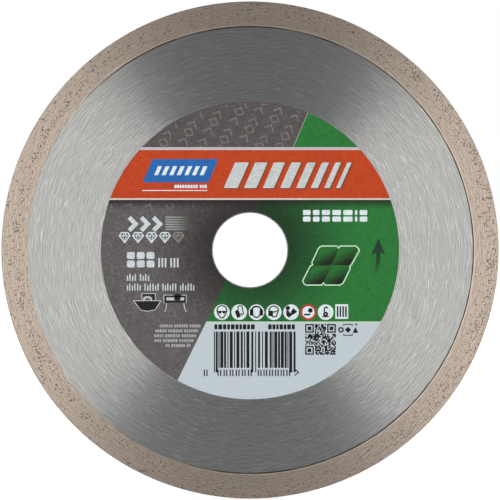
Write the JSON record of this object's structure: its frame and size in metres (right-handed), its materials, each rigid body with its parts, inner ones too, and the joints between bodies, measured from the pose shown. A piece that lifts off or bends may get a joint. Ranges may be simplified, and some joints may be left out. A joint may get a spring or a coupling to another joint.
{
  "type": "diamond blade",
  "caption": "Continuous-rim diamond blade for wet tile cutting: ground steel core with arbor bore, sintered diamond rim keyed over its edge, and a round printed label.",
  "frame": {"origin": "centre of the arbor bore, at the middle of the core's thickness", "axes": "+Y along the bore axis away from the labelled face, +Z to the top of the label, +X to the right of the label as it is read"},
  "size_m": [0.2, 0.0024, 0.2],
  "materials": {
    "ground_steel": "circumferentially ground, semi-bright",
    "backing_bond": "sintered bronze-tan bond, ground, matt",
    "diamond_bond": "sintered bronze-tan bond, dressed, matt with fine pits",
    "crystal": "dark faceted crystals",
    "adhesive": "clear-white film of glue",
    "label": "printed in dark grey, green, orange, blue and pale blue-grey, matt"
  },
  "bodies": {
    "root": {"steel_core": "ground_steel", "backing_ring": "backing_bond", "diamond_rim": "diamond_bond", "diamond_grit": "crystal", "label_adhesive": "adhesive", "label_paper": "label"}
  },
  "joints": []
}
